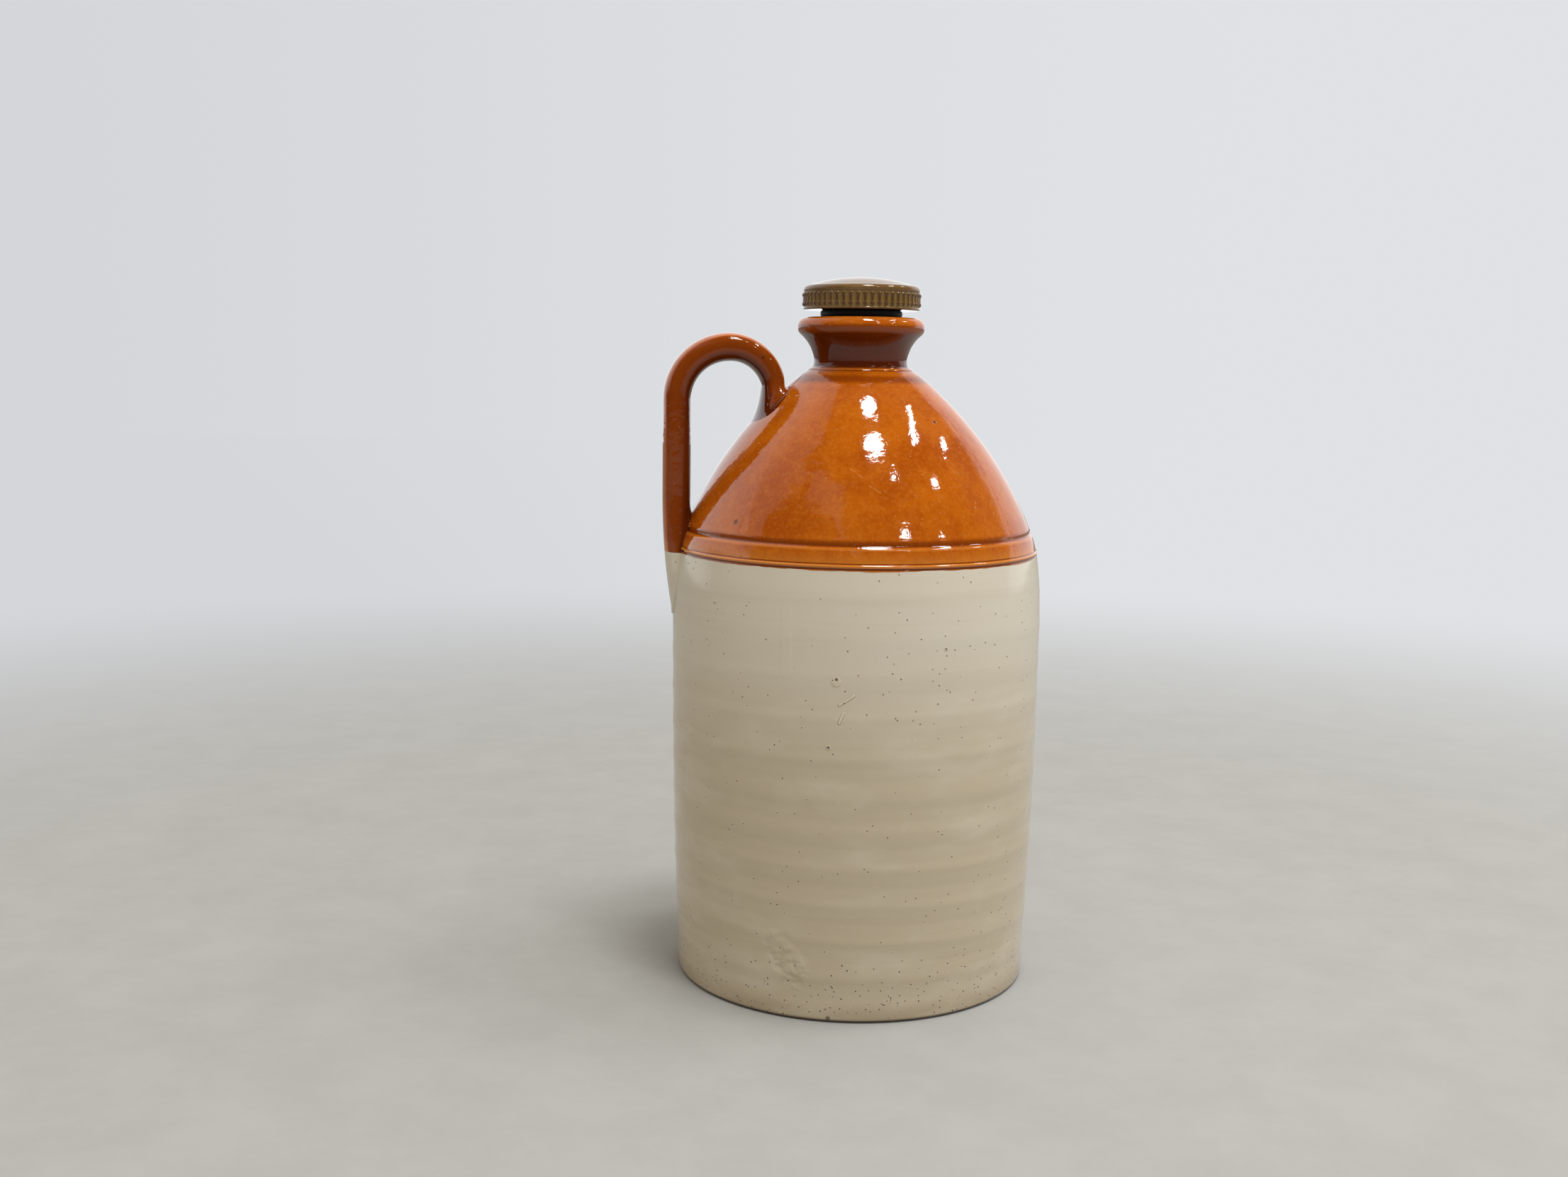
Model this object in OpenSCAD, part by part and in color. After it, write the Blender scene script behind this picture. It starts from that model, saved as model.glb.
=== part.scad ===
// One-gallon stoneware flagon with a screw stopper
//
// The flagon stands on its flat foot at z = 0 with its axis on Z, and its handle points to -X.
// It is thrown and fired as one piece: a hollow body, a neck with a coarse thread tooled into its bore,
// and a pulled strap handle that is pressed on. A stoneware stopper screws into the neck and squeezes a
// rubber seal against the lip. All sizes are in millimetres.

/* [Body] */
// Width of the foot
foot_d = 168; // [140:0.5:172]
// Radius that rounds the edge of the foot
foot_round = 2; // [0.5:0.5:4]
// Width of the side where it is widest
belly_d = 175.6; // [160:0.2:200]
// Height of the widest place
belly_h = 145; // [100:1:165]
// Width at the brow, where the side turns in
brow_d = 171.4; // [150:0.2:175]
// Height of the brow
brow_h = 202; // [190:1:260]
// Rise from the brow to the tooled groove
groove_rise = 11.8; // [8:0.1:16]
// Width of the shoulder at the groove
groove_d = 164.8; // [146:0.2:168]
// Rise from the groove to the foot of the neck
shoulder_rise = 72.6; // [60:0.2:90]
// Thickness of the side and the shoulder
wall = 8.5; // [6:0.25:11]
// Thickness of the bottom
floor_t = 10; // [6:0.5:16]
// Radius of the corner between bottom and side, inside
floor_round = 12; // [4:1:20]

/* [Tooled lines] */
// Radius of the tool that cuts the groove
groove_tool = 1.1; // [0.6:0.1:1.8]
// How deep the groove is cut
groove_cut = 0.9; // [0.4:0.1:1.2]
// Rise from the brow to the fine raised line
line_rise = 3; // [1.5:0.1:5]
// How far the fine line stands proud
line_proud = 0.5; // [0.2:0.1:1]
// Half the height of the fine line
line_half = 0.9; // [0.6:0.1:1.4]
// Rise from the foot of the neck to the fine ring round it
ring_rise = 2.9; // [1.5:0.1:4]
// How far the ring stands proud
ring_proud = 0.4; // [0.2:0.1:0.6]
// Half the height of the ring
ring_half = 0.8; // [0.6:0.1:1.2]

/* [Neck] */
// Width at the foot of the neck
neck_foot_d = 56.6; // [52:0.2:62]
// Width of the waist
waist_d = 44.3; // [43:0.1:48]
// Rise from the foot of the neck to the waist
waist_rise = 6; // [4:0.5:9]
// Width over the rolled lip
lip_d = 60.2; // [56:0.2:66]
// Radius of the roll of the lip
lip_roll = 4.5; // [3.5:0.1:5.5]
// Rise from the foot of the neck to the top of the lip
neck_rise = 26.8; // [24:0.2:34]
// Height of the bevel at the mouth
mouth_bevel = 2.5; // [1.5:0.1:3.5]

/* [Thread] */
// Width over the thread of the stopper
thread_d = 30.8; // [28:0.2:32]
// Depth of the thread
thread_depth = 1.9; // [1.2:0.1:2.2]
// Rise of one turn
thread_pitch = 6; // [5.4:0.1:7.5]
// Width of the thread at its root, along the axis
thread_root = 3.7; // [2.6:0.1:4]
// Play between the two threads, in the radius
thread_gap = 0.7; // [0.5:0.05:0.9]
// Play between the two threads, along the axis
thread_float = 0.45; // [0.35:0.05:0.6]
// Room left below the seal before the stopper's thread begins
thread_lead = 2.5; // [2:0.25:4]

/* [Seal] */
// Thickness of the rubber seal
seal_t = 3.5; // [2:0.1:6]
// Width of the seal at its ends
seal_d = 37.4; // [34:0.1:40]
// How far the seal bulges at mid height
seal_bulge = 0.6; // [0:0.1:1]
// Play between the seal and the stopper
seal_gap = 0.3; // [0.3:0.05:0.6]

/* [Stopper] */
// Length of the shank below the head
shank_l = 28; // [24:0.5:29]
// Bevel at the end of the shank
shank_bevel = 1.5; // [0.5:0.1:2]
// How far the plain collar under the head stands proud of the shank
collar_proud = 1.1; // [0.6:0.1:1.4]
// Width over the beads of the rim
head_d = 56.1; // [50:0.1:64]
// Height of the milled rim
rim_h = 9.4; // [8.6:0.1:13]
// Number of columns round the rim
columns = 52; // [30:1:60]
// Radius of a bead
bead_r = 1.3; // [0.8:0.05:1.4]
// Radius of the pillar between two beads
pillar_r = 0.8; // [0.5:0.05:1.2]
// Height of the plain fillets above and below the columns
rim_fillet = 1; // [0.6:0.1:1.6]
// Radius that rounds the head above the rim
head_round = 2.6; // [1.5:0.1:4]
// Rise of the domed top
dome_rise = 3.9; // [1:0.1:8]

/* [Handle] */
// Distance from the axis to the middle of the grip
grip_reach = 86.4; // [84:0.1:92]
// Height of the middle of the arch above the neck's foot
arch_rise = 12.4; // [8:0.1:16]
// Radius of the arch on the grip's side
arch_out = 24.6; // [22:0.1:28]
// Radius of the arch on the neck's side
arch_in = 21.2; // [18:0.1:23]
// Thickness of the strap, away from the axis
strap_t = 13.2; // [10:0.1:15]
// Width of the strap, round the axis
strap_w = 23; // [16:0.5:26]
// Width of the strap where it spreads over the shoulder
root_w = 36; // [28:0.5:40]
// Thickness of the strap where it spreads over the shoulder
root_t = 20; // [16:0.5:22]
// How far the root is pressed into the shoulder
root_sink = 3.5; // [2:0.25:5]
// How far below the centre of the arch the root meets the shoulder
root_drop = 4.2; // [2:0.2:7]
// Width of the tail that is pressed on the side
tail_w = 25; // [20:0.5:30]
// How far the tail runs below the brow
tail_drop = 28; // [20:0.5:34]

/* [Hidden] */
$fn = 96;
GLAZE = "#a8551c";
OLIVE = "#7d5f26";
RUBBER = "#1b1b1d";

// Levels and radii that follow from the sizes above
groove_z = brow_h + groove_rise;
neck_z = groove_z + shoulder_rise;
lip_z = neck_z + neck_rise;
seat_z = lip_z + seal_t;
head_z = seat_z + rim_h;
thread_r = thread_d / 2;
core_r = thread_r - thread_depth;
bore_r = core_r + thread_gap;
shank_z = seat_z - shank_l;
thread_z = shank_z + shank_bevel + thread_root / 2;
thread_turns = (lip_z - thread_lead - thread_root / 2 - thread_z) / thread_pitch;
collar_r = core_r + collar_proud;

// A direction in the r-z plane, leaning a degrees from straight up towards the axis
function lean(a) = [-sin(a), cos(a)];

// Smooth curve of n points from p to q, which leaves at lean a and arrives at lean b; q is left out
PULL = 0.35;
function curve(p, a, q, b, n) =
    let (reach = norm(q - p) * PULL, c = p + lean(a) * reach, d = q - lean(b) * reach)
    [for (i = [0 : n - 1]) let (t = i / n, u = 1 - t)
        p * u * u * u + c * 3 * t * u * u + d * 3 * t * t * u + q * t * t * t];

// Arc of n + 1 points about c, from angle a to angle b
function arc(c, r, a, b, n) =
    [for (i = [0 : n]) let (t = a + (b - a) * i / n) c + r * [cos(t), sin(t)]];

// The same line set in by d on its left-hand side
function inset(line, d) =
    let (last = len(line) - 1)
    [for (i = [0 : last])
        let (v = line[min(i + 1, last)] - line[max(i - 1, 0)]) line[i] + d * [-v.y, v.x] / norm(v)];

// Outline of the side and the shoulder, from the top of the foot's rounding to the foot of the neck
FOOT_LEAN = -3;
BROW_LEAN = 9;
GROOVE_LEAN = 23;
NECK_LEAN = 51;
function side_line() = concat(
    curve([foot_d / 2, foot_round], FOOT_LEAN, [belly_d / 2, belly_h], 0, 10),
    curve([belly_d / 2, belly_h], 0, [brow_d / 2, brow_h], BROW_LEAN, 6),
    curve([brow_d / 2, brow_h], BROW_LEAN, [groove_d / 2, groove_z], GROOVE_LEAN, 4),
    curve([groove_d / 2, groove_z], GROOVE_LEAN, [neck_foot_d / 2, neck_z], NECK_LEAN, 12),
    [[neck_foot_d / 2, neck_z]]);

// Outline of the neck, from the waist's approach over the lip to the bevel of the mouth
UNDER_LIP = -50;
function neck_line() =
    let (roll = [lip_d / 2 - lip_roll, lip_z - lip_roll],
        waist = [waist_d / 2, neck_z + waist_rise])
    concat(
        curve([neck_foot_d / 2, neck_z], NECK_LEAN, waist, 0, 7),
        curve(waist, 0, roll + lip_roll * [cos(UNDER_LIP), sin(UNDER_LIP)], UNDER_LIP, 7),
        arc(roll, lip_roll, UNDER_LIP, 90, 10),
        [[bore_r + mouth_bevel, lip_z], [bore_r, lip_z - mouth_bevel]]);

// Outline of the hollow, from the bore down to the middle of the bottom
BORE_RISE = 1;
CORNER_REST = 4;
function hollow_line() =
    let (skin = inset(side_line(), wall),
        top = skin[len(skin) - 1],
        bore = [bore_r, neck_z + BORE_RISE],
        corner = [skin[1].x - floor_round, floor_t + floor_round],
        up = concat(
            arc(corner, floor_round, -90, 0, 6),
            [for (p = skin) if (p.y > corner.y + CORNER_REST && p.y < top.y) p],
            curve(top, NECK_LEAN, bore, 0, 6),
            [bore]))
    concat([for (i = [len(up) - 1 : -1 : 0]) up[i]], [[0, floor_t]]);

// Section of the thread: a round ridge of height h and root width w on a cylinder of radius r. It stands
// out by the share k of its height, and its foot dips below the cylinder by the share FOOT_DIP.
THREAD_STEPS = 6;
FOOT_DIP = 0.15;
function mix(a, b, t) = a + (b - a) * t;
function ridge(r, h, w, bury, k) = concat(
    [[r - bury, -w / 2]],
    [for (i = [0 : THREAD_STEPS]) let (s = 2 * i / THREAD_STEPS - 1)
        [r + h * mix(-FOOT_DIP, 1, k * (0.5 + 0.5 * cos(180 * s))), s * w / 2]],
    [[r - bury, w / 2]]);

// Round ridge wound right-handed between two counts of turns, with its middle at z0 at turn 0. It rises
// out of the cylinder at its start, and sinks back at its end too if fade_end is set.
TURN_STEPS = 24;
FADE = 0.2;
module winding(r, h, w, bury, z0, from, to, fade_end) {
    rings = ceil((to - from) * TURN_STEPS);
    loft([for (i = [0 : rings])
        let (turn = mix(from, to, i / rings),
            left = fade_end ? to - turn : FADE,
            k = min(1, (turn - from) / FADE, left / FADE),
            a = 360 * turn)
        [for (p = ridge(r, h, w, bury, k))
            [p.x * cos(a), p.x * sin(a), p.y + z0 + thread_pitch * turn]]]);
}

// Closed skin through a list of sections that all have the same number of points
module loft(sections) {
    m = len(sections[0]);
    last = len(sections) - 1;
    polyhedron(
        points = [for (s = sections, p = s) p],
        faces = concat(
            [[for (j = [m - 1 : -1 : 0]) j]],
            [for (i = [0 : last - 1], j = [0 : m - 1])
                let (k = (j + 1) % m) each [
                    [i * m + j, i * m + k, (i + 1) * m + j],
                    [i * m + k, (i + 1) * m + k, (i + 1) * m + j]]],
            [[for (j = [0 : m - 1]) last * m + j]]));
}

// Path of the strap, as stations of [distance from the axis, height, direction of travel, half thickness,
// half width, wrap] from the tip of the tail up the grip and over the arch to the shoulder. A wrap of 1
// bends the section round the flagon's axis, so that it lies on the turned surface.
arch_z = neck_z + arch_rise;
grip_top = arch_z - arch_out;
arch_x = grip_reach - arch_out;
root_z = arch_z - arch_in;
tail_z = brow_h - tail_drop;
function ease(t) = t * t * (3 - 2 * t);

// Radius of a rising line at height z, and that of the side
function radius_at(line, z) =
    let (i = [for (k = [0 : len(line) - 2]) if (line[k + 1].y >= z) k][0])
    mix(line[i].x, line[i + 1].x, (z - line[i].y) / (line[i + 1].y - line[i].y));
function side_r(z) = radius_at(side_line(), z);

// The tail leaves the side with its tip barely proud, and grows out to the grip at TAIL_TOP above the brow
TAIL_STEPS = 10;
TAIL_TOP = 30;
TAIL_TIP = 0.55;
TAIL_PROUD = 0.3;
TAIL_BURY = 0.7;
TAIL_SWELL = 2.2;
TAIL_WIDEN = 3;
function tail_path() =
    [for (i = [0 : TAIL_STEPS])
        let (t = i / TAIL_STEPS,
            swell = 1 - pow(1 - t, TAIL_SWELL),
            outer = mix(side_r(tail_z) + TAIL_PROUD, grip_reach + strap_t / 2, swell),
            inner = mix(side_r(tail_z) - TAIL_BURY * wall, grip_reach - strap_t / 2, ease(t)),
            half_w = tail_w / 2 * mix(TAIL_TIP, 1, sqrt(min(1, TAIL_WIDEN * t))))
        [(outer + inner) / 2, mix(tail_z, brow_h + TAIL_TOP, t), 90, (outer - inner) / 2,
            mix(half_w, strap_w / 2, ease(max(0, 2 * t - 1))), 1 - ease(t)]];

GRIP_STEPS = 5;
function grip_path() =
    [for (i = [1 : GRIP_STEPS])
        [grip_reach, mix(brow_h + TAIL_TOP, grip_top, i / GRIP_STEPS), 90, strap_t / 2, strap_w / 2, 0]];

ARCH_STEPS = 10;
ARCH_END = 68;
ARCH_THIN = 0.88;
function arch_path() = concat(
    [for (i = [1 : ARCH_STEPS]) let (a = 90 * i / ARCH_STEPS)
        [arch_x + arch_out * cos(a), grip_top + arch_out * sin(a), 90 + a, strap_t / 2, strap_w / 2, 0]],
    [for (i = [1 : ARCH_STEPS - 1]) let (t = i / ARCH_STEPS, a = 90 + ARCH_END * t)
        [arch_x + arch_in * cos(a), root_z + arch_in * sin(a), 90 + a,
            strap_t / 2 * mix(1, ARCH_THIN, t), strap_w / 2, 0]]);

// The root leaves the arch and runs into the shoulder along its normal, spreading as it goes
ROOT_STEPS = 8;
ROOT_SPREAD = 1.8;
function root_path() =
    let (foot_z = root_z - root_drop,
        into = 180 + atan2(side_r(foot_z - 1) - side_r(foot_z + 1), 2),
        turn = 180 + ARCH_END,
        start = [arch_x - arch_in * sin(ARCH_END), root_z + arch_in * cos(ARCH_END)],
        stop = [side_r(foot_z), foot_z] + root_sink * [cos(into), sin(into)],
        line = concat(curve(start, turn - 90, stop, into - 90, ROOT_STEPS), [stop]))
    [for (i = [0 : ROOT_STEPS]) let (t = i / ROOT_STEPS, k = pow(t, ROOT_SPREAD))
        [line[i].x, line[i].y, mix(turn, into, ease(t)), mix(strap_t * ARCH_THIN, root_t, k) / 2,
            mix(strap_w, root_w, k) / 2, ease(t)]];

// Rounded oblong section of the strap at one station of its path
SECTION_STEPS = 20;
SQUARE = 0.78;
function signed_pow(v, e) = sign(v) * pow(abs(v), e);
function strap_section(s) =
    [for (j = [0 : SECTION_STEPS - 1])
        let (a = 360 * j / SECTION_STEPS,
            out = s[3] * signed_pow(cos(a), SQUARE), across = s[4] * signed_pow(sin(a), SQUARE),
            r = s[0] + out * sin(s[2]), turn = across / s[0] * 180 / PI)
        [-mix(r, r * cos(turn), s[5]), mix(across, r * sin(turn), s[5]), s[1] - out * cos(s[2])]];

// The turned body with its hollow. The groove, the fine line and the ring round the neck are part of the
// outline, and their tools have few corners, so that the strap crosses plain faces.
TOOL_SIDES = 10;
FOOT_ARC = [-90, -15];
module body_shell() {
    line_z = brow_h + line_rise;
    ring_z = neck_z + ring_rise;
    rotate_extrude()
        difference() {
            union() {
                polygon(concat(
                    [[0, 0]],
                    arc([foot_d / 2 - foot_round, foot_round], foot_round, FOOT_ARC[0], FOOT_ARC[1], 4),
                    side_line(),
                    [for (i = [1 : len(neck_line()) - 1]) neck_line()[i]],
                    hollow_line()));
                translate([side_r(line_z) + line_proud - line_half, line_z])
                    circle(r = line_half, $fn = TOOL_SIDES);
                translate([radius_at(neck_line(), ring_z) + ring_proud - ring_half, ring_z])
                    circle(r = ring_half, $fn = TOOL_SIDES);
            }
            translate([groove_d / 2 + groove_tool - groove_cut, groove_z])
                circle(r = groove_tool, $fn = TOOL_SIDES);
        }
}

module strap_handle() {
    loft([for (s = concat(tail_path(), grip_path(), arch_path(), root_path())) strap_section(s)]);
}

// The thread in the bore begins a little below that of the stopper, and runs out over the lip
THREAD_BURY = 1;
THREAD_EARLY = 0.25;
THREAD_PAST = 1;
module neck_thread() {
    winding(bore_r, thread_depth, thread_root + 2 * thread_float, THREAD_BURY,
        thread_z, -THREAD_EARLY, (lip_z - thread_z) / thread_pitch + THREAD_PAST, false);
}

module flagon() {
    color(GLAZE)
        difference() {
            union() {
                body_shell();
                strap_handle();
            }
            neck_thread();
        }
}

module seal() {
    color(RUBBER)
        rotate_extrude()
            polygon(concat(
                [[collar_r + seal_gap, lip_z]],
                [for (i = [0 : 8]) let (t = i / 8)
                    [seal_d / 2 + seal_bulge * sin(180 * t), lip_z + seal_t * t]],
                [[collar_r + seal_gap, seat_z]]));
}

// Beads at both ends of a short pillar, standing round the rim
module column() {
    low = seat_z + rim_fillet + bead_r;
    high = head_z - rim_fillet - bead_r;
    translate([head_d / 2 - bead_r, 0, 0]) {
        translate([0, 0, low]) sphere(r = bead_r, $fn = 24);
        translate([0, 0, high]) sphere(r = bead_r, $fn = 24);
        translate([0, 0, low]) cylinder(h = high - low, r = pillar_r, $fn = 24);
    }
}

// The head. The fillets stand inside the beads by FILLET_STEP, with their edges broken by EDGE. The head
// rounds over to the dome by the share ROUND_RISE of head_round, and the share POLE of the dome is flat.
FILLET_STEP = 0.5;
EDGE = 0.3;
ROUND_RISE = 0.75;
POLE = 0.04;
module stopper_head() {
    rim_r = head_d / 2 - bead_r;
    fillet_r = head_d / 2 - FILLET_STEP;
    shoulder_r = fillet_r - head_round;
    sphere_r = (shoulder_r * shoulder_r + dome_rise * dome_rise) / (2 * dome_rise);
    dome_z = head_z + head_round * ROUND_RISE;
    half = asin(shoulder_r / sphere_r);
    low = seat_z + rim_fillet;
    high = head_z - rim_fillet;
    rotate_extrude()
        polygon(concat(
            [[0, seat_z], [fillet_r - EDGE, seat_z], [fillet_r, seat_z + EDGE],
                [fillet_r - EDGE, low], [rim_r, low + EDGE],
                [rim_r, high - EDGE], [fillet_r - EDGE, high]],
            [for (i = [0 : 6]) let (a = 90 * i / 6)
                [shoulder_r + head_round * cos(a), mix(head_z - EDGE, dome_z, sin(a))]],
            [for (i = [1 : 8]) let (a = half * mix(1, POLE, i / 8))
                [sphere_r * sin(a), dome_z + dome_rise - sphere_r * (1 - cos(a))]],
            [[0, dome_z + dome_rise - sphere_r * (1 - cos(half * POLE))]]));
}

// The shank with its bevelled end, and the collar that centres the seal and dips into the mouth
COLLAR_DIP = 1;
COLLAR_SLOPE = 1;
OVERLAP = 1;
module shank() {
    rotate_extrude()
        polygon([[0, shank_z], [core_r - shank_bevel, shank_z], [core_r, shank_z + shank_bevel],
            [core_r, lip_z - COLLAR_DIP - COLLAR_SLOPE], [collar_r, lip_z - COLLAR_DIP],
            [collar_r, seat_z + OVERLAP], [0, seat_z + OVERLAP]]);
    winding(core_r, thread_depth, thread_root, THREAD_BURY, thread_z, 0, thread_turns, true);
}

module stopper() {
    color(OLIVE)
        union() {
            stopper_head();
            for (i = [0 : columns - 1]) rotate([0, 0, 360 * (i + 0.5) / columns]) column();
            shank();
        }
}

flagon();
seal();
stopper();
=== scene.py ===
"""A one-gallon stoneware flagon with a screw stopper, on a pale floor.

The flagon's axis is Z, its foot stands at z = 0 and its handle points to -X. Blender works in metres, and
sizes are written as real sizes in millimetres times mm.
"""
import math

import bpy
import numpy as np
from mathutils import Matrix


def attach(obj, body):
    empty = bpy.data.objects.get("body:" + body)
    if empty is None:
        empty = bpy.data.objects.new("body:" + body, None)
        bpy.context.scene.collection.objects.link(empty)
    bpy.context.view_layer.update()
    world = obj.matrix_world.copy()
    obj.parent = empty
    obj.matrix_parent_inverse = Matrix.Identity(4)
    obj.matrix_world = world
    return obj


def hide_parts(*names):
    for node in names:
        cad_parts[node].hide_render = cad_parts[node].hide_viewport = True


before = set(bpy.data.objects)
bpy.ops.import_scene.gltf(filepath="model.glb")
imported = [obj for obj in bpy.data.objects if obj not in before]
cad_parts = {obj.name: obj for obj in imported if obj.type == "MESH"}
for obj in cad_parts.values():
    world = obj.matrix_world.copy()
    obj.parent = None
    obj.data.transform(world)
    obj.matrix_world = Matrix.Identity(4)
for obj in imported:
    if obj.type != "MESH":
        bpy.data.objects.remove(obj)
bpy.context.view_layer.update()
mm = 0.001


# The camera
# It stands 0.8 m from the flagon's axis, level with the foot of the neck, and looks a little down. The
# handle is turned 7 degrees towards it, and the frame is tilted by less than a degree. The numbers come from
# a fit to the photograph that was made outside this script.
CAMERA_DISTANCE = 795.7 * mm
CAMERA_HEIGHT = 288.1 * mm
CAMERA_TURN = math.radians(7)
CAMERA_YAW = math.radians(4.51)
CAMERA_PITCH = math.radians(7.448)
CAMERA_ROLL = math.radians(0.8175)
LENS = 38.28

ahead = np.array([math.sin(CAMERA_YAW) * math.cos(CAMERA_PITCH),
                  math.cos(CAMERA_YAW) * math.cos(CAMERA_PITCH), -math.sin(CAMERA_PITCH)])
level = np.cross(ahead, [0, 0, 1])
level /= np.linalg.norm(level)
upright = np.cross(level, ahead)
right = math.cos(CAMERA_ROLL) * level + math.sin(CAMERA_ROLL) * upright
top = math.cos(CAMERA_ROLL) * upright - math.sin(CAMERA_ROLL) * level
stand = np.array([-CAMERA_DISTANCE * math.sin(CAMERA_TURN), -CAMERA_DISTANCE * math.cos(CAMERA_TURN),
                  CAMERA_HEIGHT])
camera = bpy.data.objects.new("camera", bpy.data.cameras.new("camera"))
camera.data.lens = LENS
camera.data.sensor_width = 36
camera.data.clip_start = 0.01
axes = np.column_stack([right, top, -ahead, stand])
camera.matrix_world = Matrix(np.vstack([axes, [0, 0, 0, 1]]).tolist())
bpy.context.collection.objects.link(camera)
bpy.context.scene.camera = camera


# The turned body
# Pale stoneware thrown on a wheel: a straight hollow side, a round shoulder with a tooled groove and a fine
# raised line, and a neck with a rolled lip. The thread was cut into the bore while the clay was soft.
FOOT_R, FOOT_ROUND = 84 * mm, 2 * mm
FOOT_DISH, DISH_R, STAND_R = 0.6 * mm, FOOT_R - 9 * mm, FOOT_R - 6.5 * mm
BELLY_R, BELLY_Z = 87.8 * mm, 145 * mm
BROW_R, BROW_Z = 85.7 * mm, 202 * mm
GROOVE_R, GROOVE_Z = 82.4 * mm, 213.8 * mm
NECK_R, NECK_Z = 28.3 * mm, 286.4 * mm
WAIST_R, WAIST_Z = 22.15 * mm, 292.4 * mm
LIP_R, LIP_Z, LIP_ROLL = 30.1 * mm, 313.2 * mm, 4.5 * mm
BORE_R, MOUTH_BEVEL = 14.2 * mm, 2.5 * mm
WALL, FLOOR_T, FLOOR_ROUND = 8.5 * mm, 10 * mm, 12 * mm
FOOT_LEAN, BROW_LEAN, GROOVE_LEAN, NECK_LEAN, UNDER_LIP = -3, 9, 23, 51, -50
LINE_Z = BROW_Z + 3 * mm
THREAD_DEPTH, THREAD_PITCH, THREAD_Z = 1.9 * mm, 6 * mm, 292.05 * mm
BORE_THREAD_HALF = 2.3 * mm
FURROW, FINE_FURROW = 17 * mm, 6.1 * mm
LOW_FADE, FOOT_FADE, NECK_FADE = (110 * mm, 215 * mm), (2 * mm, 14 * mm), (270 * mm, 284 * mm)
TOOLED_FROM, TOOLED_TO = 190 * mm, 300 * mm
BODY_COLUMNS = 210


def lean(angle):
    """Unit direction in the r-z plane, leaning angle degrees from straight up towards the axis."""
    return np.array([-math.sin(math.radians(angle)), math.cos(math.radians(angle))])


def curve(p, a, q, b, n):
    """Cubic curve from p to q in n points, q left out: u^3 p + 3 u^2 t c + 3 u t^2 d + t^3 q, u = 1 - t.
    Its inner points c and d lie 0.35 of the chord along lean a from p and back along lean b from q."""
    p, q = np.array(p), np.array(q)
    reach = 0.35 * np.linalg.norm(q - p)
    c, d = p + lean(a) * reach, q - lean(b) * reach
    t = np.linspace(0, 1, n, endpoint=False)[:, None]
    u = 1 - t
    return u ** 3 * p + 3 * u ** 2 * t * c + 3 * u * t ** 2 * d + t ** 3 * q


def arc(c, r, a, b, n):
    """Arc of n + 1 points about c from angle a to angle b in degrees: c + r (cos t, sin t)."""
    t = np.radians(np.linspace(a, b, n + 1))
    return np.array(c) + r * np.column_stack([np.cos(t), np.sin(t)])


def line(p, q, n):
    """n points evenly from p to q, q left out."""
    return np.array(p) + np.linspace(0, 1, n, endpoint=False)[:, None] * (np.array(q) - np.array(p))


def soft_step(v, lo, hi):
    """0 below lo, 1 above hi and 3 t^2 - 2 t^3 between them."""
    t = np.clip((v - lo) / (hi - lo), 0, 1)
    return t * t * (3 - 2 * t)


def hump(v, middle, half):
    """Round hump of height 1 on middle - half .. middle + half: cos^2 of a quarter turn each way."""
    return np.cos(np.pi / 2 * np.clip((v - middle) / half, -1, 1)) ** 2


def side_line(density=1):
    """The side and the shoulder from the top of the foot's rounding to the foot of the neck."""
    return np.vstack([
        curve([FOOT_R, FOOT_ROUND], FOOT_LEAN, [BELLY_R, BELLY_Z], 0, int(90 * density)),
        curve([BELLY_R, BELLY_Z], 0, [BROW_R, BROW_Z], BROW_LEAN, int(30 * density)),
        curve([BROW_R, BROW_Z], BROW_LEAN, [GROOVE_R, GROOVE_Z], GROOVE_LEAN, int(48 * density)),
        curve([GROOVE_R, GROOVE_Z], GROOVE_LEAN, [NECK_R, NECK_Z], NECK_LEAN, int(72 * density))])


def ridge_phase(angle, z, pitch):
    """Distance along z from the nearest winding of a right-handed thread that starts at THREAD_Z and climbs
    one pitch a turn."""
    away = z - THREAD_Z - pitch * angle / (2 * np.pi)
    return (away / pitch + 0.5) % 1 * pitch - pitch / 2


def throwing(angle, z):
    """How far the thrower's fingers left the clay below the true outline: round furrows |sin| between sharp
    ridges that climb a little as they go round, strongest on the lower half, and a few long dents."""
    climb = z + 2.2 * mm * np.sin(angle + 1.2) + 1.1 * mm * np.sin(2 * angle + 0.4)
    sway = 0.25 * np.sin(angle + z / (30 * mm))
    furrows = np.sqrt(np.sin(np.pi * climb / FURROW + 2.8 + sway) ** 2 + 0.01)
    fine = 0.5 + 0.5 * np.sin(2 * np.pi * climb / FINE_FURROW + 2 * np.sin(climb / (31 * mm) + angle))
    dents = 0.5 + 0.5 * np.sin(2 * angle + 0.7 + z / (52 * mm)) * np.sin(3 * angle + 2 + z / (37 * mm))
    low = 1 - soft_step(z, *LOW_FADE)
    kept = soft_step(z, *FOOT_FADE) * (1 - soft_step(z, *NECK_FADE))
    return kept * ((0.08 + 0.25 * low) * furrows + (0.02 + 0.06 * low) * fine + 0.18 * dents) * mm


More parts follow.
